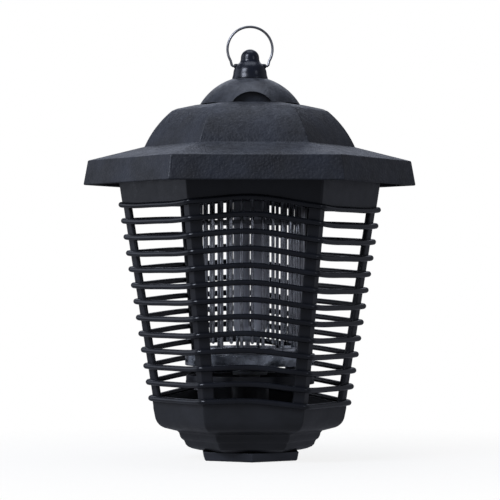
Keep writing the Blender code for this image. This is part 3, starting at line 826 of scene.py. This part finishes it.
def make_posts():
    """Six leaning V-shaped posts, from the lowest rail to the top one."""
    outline = post_outline()
    low_level = RAIL_TOP - RAIL_PITCH * (RAILS - 1)
    rows_high = 16
    past_rail = 0.6
    for index in range(HEX):
        turn = Matrix.Rotation(radians(60 * index), 2)
        rows = []
        for step in range(rows_high + 1):
            row = []
            for point in outline:
                x, y = turn @ (Vector(point) + Vector((wall_radius(CAGE_MIDDLE) - POST_INSET, 0)))
                theta = atan2(y, x)
                low = low_level + wave(theta, 1) - past_rail
                high = RAIL_TOP + wave(theta, 0) + past_rail
                height = low + (high - low) * step / rows_high
                x, y = turn @ (Vector(point) + Vector((wall_radius(height) - POST_INSET, 0)))
                row.append((x, y, height))
            rows.append(row)
        shape = bmesh.new()
        made = skin(shape, rows, close=False)
        shape.faces.new(made[0][::-1])
        shape.faces.new(made[-1])
        name = f"cage_post_{index + 1}"
        node = f"corner_post_{index + 1}"
        mesh = to_mesh(name, shape, 50)
        weighted(piece(name, mesh, "cage", node))


def make_rails():
    """Thirteen round rails, each smaller than the one above, bent up and down as they go round."""
    for index in range(RAILS):
        level = RAIL_TOP - index * RAIL_PITCH
        depth = index / (RAILS - 1)
        tip = RAIL_TIP_TOP - index * RAIL_PITCH * TAPER - RAIL_RADIUS
        corner = tip + RAIL_CORNER * (1 / HEX_FLAT - 1)
        path = []
        for point in hex_loop(corner, RAIL_CORNER, 8, 10):
            path.append((point.x, point.y, level + wave(atan2(point.y, point.x), depth)))
        shape = bmesh.new()
        sweep(shape, path, RAIL_RADIUS, 16, cyclic=True)
        name = f"cage_rail_{index + 1:02d}"
        node = f"guard_rail_{index + 1:02d}"
        piece(name, to_mesh(name, shape), "rail", node)


# --- bowl and foot ------------------------------------------------------------------------


def make_bowl():
    """The debris bowl: a rim under the lowest rail, a rounded belly and two stepped mouldings."""
    level = RAIL_TOP - RAIL_PITCH * (RAILS - 1)
    rim = level - 1.0
    outside = [(wall_radius(rim), rim), (wall_radius(42.6), 42.6)]
    lower = [(76.2, 39.6), (75.0, 33.6)]
    lower += arc((75.0, 33.6), (67.4, 24.5), 1.7, 7)
    lower += [(57.3, 22.0), (56.0, 20.6), (55.2, 17.8), (54.2, 16.2), (52.1, 14.6)]
    lower += [(51.4, 13.0), (50.7, 11.4), (49.0, 9.8), (45.5, 8.3), (40.5, 7.2), (31.0, 7.2)]
    inside = [(31.0, 9.7), (43.6, 9.7), (47.0, 12.4), (50.9, 18.4), (53.2, 24.6), (65.4, 27.6)]
    inside += arc((65.4, 27.6), (71.4, 34.2), -1.2, 6)
    inside += [(wall_radius(42.0) - 3.4, 41.0)]
    body = softened(lower + inside, 0.7, closed=False)
    profile = outside + body + [(wall_radius(rim) - 3.4, rim)]
    wavy = {0: 1.0, len(profile) - 1: 1.0}
    shape = bmesh.new()
    skin(shape, hex_rows(profile, 2.2, wavy))
    base = temporary("bowl_base", shape)
    changes = [(bar("bowl_opening", 30.0, (0, 0, 2.0), (0, 0, 14.0), 96), "DIFFERENCE")]
    for index in range(3):
        shape = turned_block((20, -6.0, 4.0), (33.8, 6.0, 12.0), 0.5, 120 * index + 30)
        changes.append((temporary(f"notch_{index}", shape), "DIFFERENCE"))
    mesh = to_mesh("debris_bowl", combined(base, changes), 45)
    weighted(piece("debris_bowl", mesh, "bowl", "base_bowl"))


def make_cap():
    """The foot: a six-sided cap turned 30 degrees, with a round spigot and three lugs."""
    profile = [(37.6, 3.0), (38.4, 6.9), (42.8, 6.9), (41.6, 1.0), (41.0, 0.2), (40.2, 0.0)]
    shape = bmesh.new()
    rows = [
        [Matrix.Rotation(radians(30), 3, "Z") @ Vector(p) for p in row]
        for row in hex_rows(softened(profile, 0.5, closed=False), 1.6)
    ]
    made = skin(shape, rows, close=False)
    shape.faces.new(made[0])
    shape.faces.new(made[-1][::-1])
    base = temporary("cap_base", shape)
    changes = []
    shape = bmesh.new()
    lathe(shape, softened([(29.3, 14.0), (29.3, 2.0), (26.5, 2.0), (26.5, 14.0)], 0.5), 72)
    changes.append((temporary("spigot", shape), "UNION"))
    for index in range(3):
        shape = turned_block((27.5, -4.3, 10.1), (32.6, 4.3, 12.7), 0.5, 120 * index)
        changes.append((temporary(f"lug_{index}", shape), "UNION"))
    shape = bmesh.new()
    lathe(shape, [(31.4, 0.7), (32.6, 0.7), (32.9, -1.0), (31.1, -1.0)], 72)
    changes.append((temporary("groove", shape), "DIFFERENCE"))
    for index, across in enumerate((-12, 12)):
        shape = bmesh.new()
        block(shape, (-14, across - 4, -2), (14, across + 4, 1.2), 1.0)
        changes.append((temporary(f"grip_{index}", shape), "DIFFERENCE"))
    mesh = to_mesh("twist_foot", combined(base, changes), 45)
    weighted(piece("twist_foot", mesh, "foot", "clean_out_cap", "cap"))
    shape = bmesh.new()
    lathe(shape, softened([(32.2, 6.8), (32.2, 3.3), (29.8, 3.3), (29.8, 6.8)], 1.0), 72)
    mesh = to_mesh("foot_seal", shape)
    piece("foot_seal", mesh, "rubber", "cap_seal", "cap")


# --- inside -------------------------------------------------------------------------------


def make_comb(name, node, hoop, start, end, phase):
    """Half of the killing grid: round upright wires welded inside a thin hoop."""
    shape = bmesh.new()
    low, high = hoop
    band = [(43.0, low), (43.0, high), (42.2, high), (42.2, low)]
    lathe(shape, softened(band, 0.3, 2), 96)
    for i in range(GRID_WIRES):
        angle = phase + tau * i / GRID_WIRES
        x, y = GRID_RADIUS * cos(angle), GRID_RADIUS * sin(angle)
        ends = [(start, 0.45), (start + 0.5, 0.95), (start + 1.0, GRID_WIRE)]
        ends += [(start + (end - start) * t, GRID_WIRE) for t in (0.25, 0.5, 0.75)]
        ends += [(end - 1.0, GRID_WIRE), (end - 0.5, 0.95), (end, 0.45)]
        path = [(x, y, z) for z, _ in ends]
        sweep(shape, path, [r for _, r in ends], 12, up=(0, 1, 0))
    mesh = to_mesh(name, shape)
    piece(name, mesh, "bright", node)


def rod_holes(radius):
    """Outlines of the three holes for the tie rods."""
    return [ring_points(radius, on_circle(ROD_CIRCLE, a)) for a in THIRDS]


def make_insulators():
    """The vented ring inside the wires, the clear disc, the wires' carrier and the spacer."""
    reach = GRID_RADIUS - GRID_WIRE - 0.3
    vents = [ring_points(2.4, on_circle(34.6, 15 + 30 * i)) for i in range(12)]
    outlines = [ring_points(reach, sides=96), ring_points(29.0, sides=72)] + vents
    mesh = disc("spreader_ring", outlines, 184.0, 187.0)
    piece("spreader_ring", mesh, "insulator", "upper_insulator")
    outlines = [ring_points(51.0, sides=96)] + rod_holes(2.3)
    mesh = disc("lower_disc", outlines, 73.6, 82.8, 0.9)
    piece("lower_disc", mesh, "clear", "lower_insulator")
    outlines.append(ring_points(20.0, sides=72))
    mesh = disc("wire_carrier", outlines, 208.3, 212.3)
    piece("wire_carrier", mesh, "insulator", "wire_holder")
    spool = [(0, 73.3), (8.0, 73.3), (8.0, 69.0), (13.6, 69.0), (13.6, 66.0), (8.0, 66.0)]
    spool += [(8.0, 62.3), (0, 62.3)]
    shape = bmesh.new()
    lathe(shape, softened(spool, 0.6, closed=False), 64, closed=False)
    mesh = to_mesh("disc_spacer", shape, 50)
    piece("disc_spacer", mesh, "spacer", "insulator_spacer")


def make_lower_plate():
    """The plate under the clear disc, with a raised rim, and the ribbed column below it."""
    mesh = disc("stand_plate", [ring_points(50.5, sides=96)] + rod_holes(2.3), 59.0, 62.0, 0.5)
    base = linked("plate_base", mesh)
    shape = bmesh.new()
    lathe(shape, softened([(50.2, 66.0), (50.2, 60.5), (48.7, 60.5), (48.7, 66.0)], 0.4), 96)
    changes = [(temporary("plate_rim", shape), "UNION")]
    mesh = to_mesh("stand_plate", combined(base, changes), 50)
    piece("stand_plate", mesh, "inner", "lower_plate")
    shape = bmesh.new()
    profile = [(14.8, 58.7), (14.8, 16.5), (12.4, 16.5), (12.4, 58.7)]
    lathe(shape, softened(profile, 0.5), 64)
    for i in range(8):
        rib = turned_block((11.2, -0.7, 18.0), (12.9, 0.7, 57.5), 0.3, 45 * (i + 0.5))
        mesh = bpy.data.meshes.new("rib")
        rib.to_mesh(mesh)
        rib.free()
        shape.from_mesh(mesh)
        bpy.data.meshes.remove(mesh)
    mesh = to_mesh("stand_column", shape, 50)
    weighted(piece("stand_column", mesh, "inner", "lower_column"))


def make_rods():
    """Three tie rods, threaded at the foot, and their nuts."""
    for index, angle in enumerate(THIRDS, 1):
        x, y = on_circle(ROD_CIRCLE, angle)
        heights = [(52.0, 1.4), (52.6, 1.9)]
        for i in range(24):
            heights.append((52.8 + i * 0.5, 2.0 if i % 2 else 1.75))
        heights += [(66.0, 2.0), (120.0, 2.0), (190.0, 2.0), (212.1, 2.0), (212.7, 1.5)]
        shape = bmesh.new()
        path = [(x, y, z) for z, _ in heights]
        sweep(shape, path, [r for _, r in heights], 20, up=(0, 1, 0))
        name = f"threaded_rod_{index}"
        mesh = to_mesh(name, shape, 80)
        piece(name, mesh, "screw", f"tie_rod_{index}")
        shape = bmesh.new()
        hex_nut(shape, 2.3, 4.4, 55.0, 58.7, (x, y))
        name = f"rod_nut_{index}"
        mesh = to_mesh(name, shape, 30)
        piece(name, mesh, "screw", f"tie_nut_{index}")


def make_lamp():
    """A U-shaped tube that hangs from a moulded base and its holder."""
    half, leg, bottom, top = 7.0, 6.0, 92.0, 193.0
    bend = bottom + leg + half
    path = [(-half, 0, z) for z in (top, top - 6, top - 30, 140.0, bend + 6)]
    for i in range(17):
        angle = pi + pi * i / 16
        path.append((half * cos(angle), 0, bend + half * sin(angle)))
    path += [(half, 0, z) for z in (bend + 6, 140.0, top - 30, top - 6, top)]
    shape = bmesh.new()
    sweep(shape, path, leg, 32, up=(0, 1, 0))
    mesh = to_mesh("glass_tube", shape)
    piece("glass_tube", mesh, "lamp", "lamp_tube")
    shape = bmesh.new()
    block(shape, (-13, -8, 193.3), (13, 8, 203.0), 1.6, 3)
    neck = softened([(7.4, 196.0), (7.4, 191.6), (6.1, 191.0), (6.1, 196.0)], 0.4)
    for x in (-half, half):
        lathe(shape, neck, 40, centre=(x, 0))
    mesh = to_mesh("tube_base", shape, 50)
    weighted(piece("tube_base", mesh, "lamp_plastic", "lamp_base"))
    shape = bmesh.new()
    block(shape, (-15, -10, 203.3), (15, 10, 212.7), 1.2, 3)
    mesh = to_mesh("tube_holder", shape, 50)
    weighted(piece("tube_holder", mesh, "lamp_plastic", "lamp_socket"))


def paint_carried_nodes():
    """Gives the CAD nodes that stay as they are their finished materials."""
    finishes = {
        "chassis_plate": ("zinc", "chassis_zinc"),
        "transformer_core": ("core", "core_steel"),
        "transformer_coil": ("coil", "coil_copper"),
        "circuit_board": ("board", "board_green"),
        "capacitor_1": ("sleeve", "capacitor_sleeve"),
        "capacitor_2": ("sleeve", "capacitor_sleeve"),
    }
    fixings = [f"chassis_screw_{i}" for i in (1, 2, 3)]
    fixings += [f"{kind}_{i}" for kind in ("transformer_screw", "board_standoff") for i in (1, 2)]
    for name in fixings:
        finishes[name] = ("screw", "fixing_steel")
    for name, (look, slot) in finishes.items():
        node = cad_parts[name]
        node.data.materials.clear()
        node.data.materials.append(looks[look])


# --- stage --------------------------------------------------------------------------------


def make_floor():
    """A pale floor that melts into the white surroundings away from the object."""
    mesh = bpy.data.meshes.new("floor")
    shape = bmesh.new()
    bmesh.ops.create_circle(shape, cap_ends=True, segments=96, radius=FLOOR_RADIUS)
    shape.to_mesh(mesh)
    shape.free()
    floor = linked("floor", mesh)
    look = Look("pale_floor")
    look.set(Base_Color=(0.9, 0.9, 0.9, 1), Roughness=0.9, Specular_IOR_Level=0.1)
    reach = look.add("ShaderNodeVectorMath", {0: look.place}, operation="LENGTH").outputs["Value"]
    clear = look.add("ShaderNodeBsdfTransparent")
    mixed = look.add("ShaderNodeMixShader")
    look.join(look.spread(reach, 0.1, 0.42, 0.86, 1.0), mixed.inputs[0])
    look.join(look.shader.outputs["BSDF"], mixed.inputs[1])
    look.join(clear.outputs["BSDF"], mixed.inputs[2])
    look.join(mixed.outputs["Shader"], look.tree.nodes["Material Output"].inputs["Surface"])
    mesh.materials.append(look.material)


def aimed(name, data, place, target):
    """A light or camera that looks from a place to a target."""
    obj = linked(name, data)
    obj.location = place
    obj.rotation_euler = (Vector(target) - Vector(place)).to_track_quat("-Z", "Y").to_euler()
    return obj


def softbox(name, place, size, power):
    """A rectangular lamp that the camera doesn't see."""
    data = bpy.data.lights.new(name, "AREA")
    data.shape = "RECTANGLE"
    data.size, data.size_y = size
    data.energy = power
    data.color = SKY
    aimed(name, data, place, LIT_POINT).visible_camera = False


def make_light():
    """A soft key from the upper left front, a weak fill, and dim panels on the other sides."""
    softbox("left_panel", (-1.6, 0.45, 0.6), (1.3, 1.2), 3.6)
    softbox("right_panel", (1.65, 0.4, 0.6), (1.2, 1.2), 0.6)
    softbox("ceiling", (0.0, 0.2, 1.75), (1.2, 1.0), 7.0)
    softbox("back_top", (0.0, 1.5, 1.15), (1.4, 0.6), 3.0)
    softbox("key", (-1.3, -1.2, 1.35), (0.9, 1.0), 36.0)
    softbox("fill", (1.35, -1.5, 0.7), (0.5, 0.9), 2.5)
    world = bpy.data.worlds.new("white_studio")
    bpy.context.scene.world = world
    world.use_nodes = True
    tree = world.node_tree
    seen = tree.nodes.new("ShaderNodeLightPath").outputs["Is Camera Ray"]
    mix = tree.nodes.new("ShaderNodeMix")
    mix.data_type = "RGBA"
    mix.inputs[FIRST_COLOUR].default_value = (*ROOM, 1)
    mix.inputs[SECOND_COLOUR].default_value = (1, 1, 1, 1)
    tree.links.new(seen, mix.inputs[0])
    tree.links.new(mix.outputs[MIXED_COLOUR], tree.nodes["Background"].inputs["Color"])
    bpy.context.scene.view_settings.view_transform = "Standard"


def make_camera():
    """Nearly square to the front, a little to its left and about level with the cage's middle."""
    data = bpy.data.cameras.new("camera")
    data.lens = 178.6
    distance = 1.95
    place = (-0.043 * distance, -0.999 * distance, 0.142)
    bpy.context.scene.camera = aimed("camera", data, place, (0, 0, 0.164))


make_roof()
make_gland()
make_cupola()
make_finial()
make_ring()
make_finial_fixings()
make_collar()
make_posts()
make_rails()
make_bowl()
make_cap()
make_comb("live_comb", "live_wires", (205.0, 208.0), 91.1, 207.8, 0)
make_comb("return_comb", "return_wires", (83.1, 88.1), 83.3, 202.0, pi / GRID_WIRES)
make_insulators()
make_lower_plate()
make_rods()
make_lamp()
paint_carried_nodes()
make_floor()
make_light()
make_camera()

bpy.context.view_layer.update()
